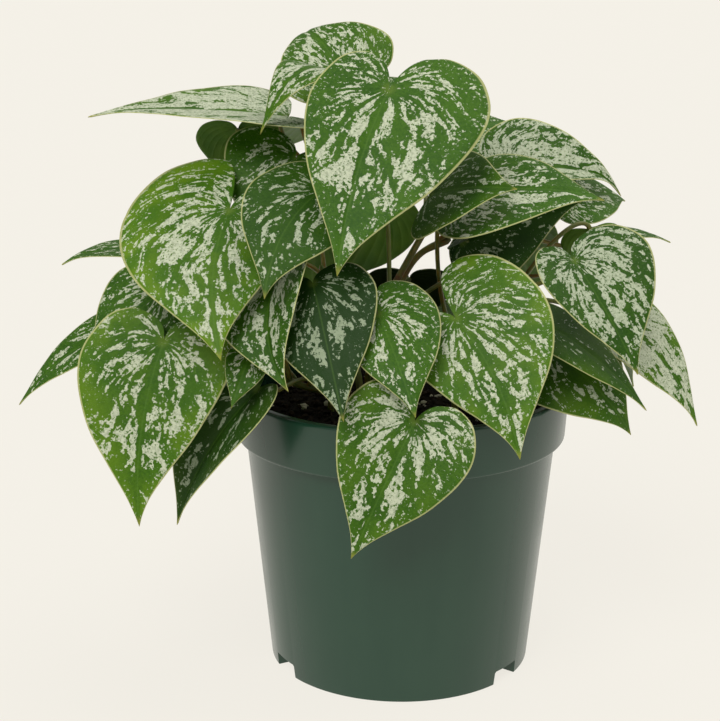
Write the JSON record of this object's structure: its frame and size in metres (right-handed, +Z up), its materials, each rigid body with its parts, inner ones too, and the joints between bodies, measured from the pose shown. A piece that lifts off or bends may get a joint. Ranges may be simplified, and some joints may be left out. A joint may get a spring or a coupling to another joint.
{
  "type": "potted silver leaf philodendron",
  "caption": "Trailing house plant with heart-shaped, silver-patched green leaves on bent stalks, rooted in a round rimmed nursery pot filled with soil.",
  "frame": {"origin": "centre of the pot's underside, on the surface that the pot stands on", "axes": "+Z up along the pot's axis, -Y towards the front that the leaves drape over, +X to the right of someone facing the front"},
  "size_m": [0.3256, 0.2133, 0.3107],
  "materials": {
    "pot_plastic": "semi-gloss dark green moulded plastic",
    "soil": "loose dark potting mix with pale mineral grains",
    "stalk": "smooth olive-green stems, partly reddish brown",
    "leaf": "satin green with silver-white patches and a thin pale margin"
  },
  "bodies": {
    "root": {"leaf_01": "leaf", "leaf_02": "leaf", "leaf_03": "leaf", "leaf_04": "leaf", "leaf_05": "leaf", "leaf_07": "leaf", "leaf_08": "leaf", "leaf_09": "leaf", "leaf_10": "leaf", "leaf_11": "leaf", "leaf_12": "leaf", "leaf_13": "leaf", "leaf_15": "leaf", "leaf_16": "leaf", "leaf_17": "leaf", "leaf_18": "leaf", "leaf_19": "leaf", "leaf_20": "leaf", "leaf_21": "leaf", "leaf_22": "leaf", "leaf_23": "leaf", "leaf_24": "leaf", "leaf_25": "leaf", "leaf_26": "leaf", "leaf_27": "leaf", "leaf_28": "leaf", "leaf_29": "leaf", "leaf_30": "leaf", "leaf_31": "leaf", "leaf_32": "leaf", "leaf_33": "leaf", "leaf_34": "leaf", "leaf_36": "leaf", "leaf_37": "leaf", "leaf_41": "leaf", "leaf_42": "leaf", "leaf_43": "leaf", "leaf_44": "leaf", "leaf_45": "leaf", "leaf_46": "leaf", "leaf_47": "leaf", "leaf_48": "leaf", "leaf_49": "leaf", "leaf_50": "leaf", "leaf_51": "leaf", "leaf_52": "leaf", "leaf_53": "leaf", "leaf_54": "leaf", "pot": "pot_plastic", "potting_soil": "soil", "vine_1": "stalk", "vine_2": "stalk", "vine_3": "stalk", "vine_4": "stalk", "vine_5": "stalk", "vine_6": "stalk", "vine_7": "stalk", "vine_8": "stalk", "vine_9": "stalk"}
  },
  "joints": []
}
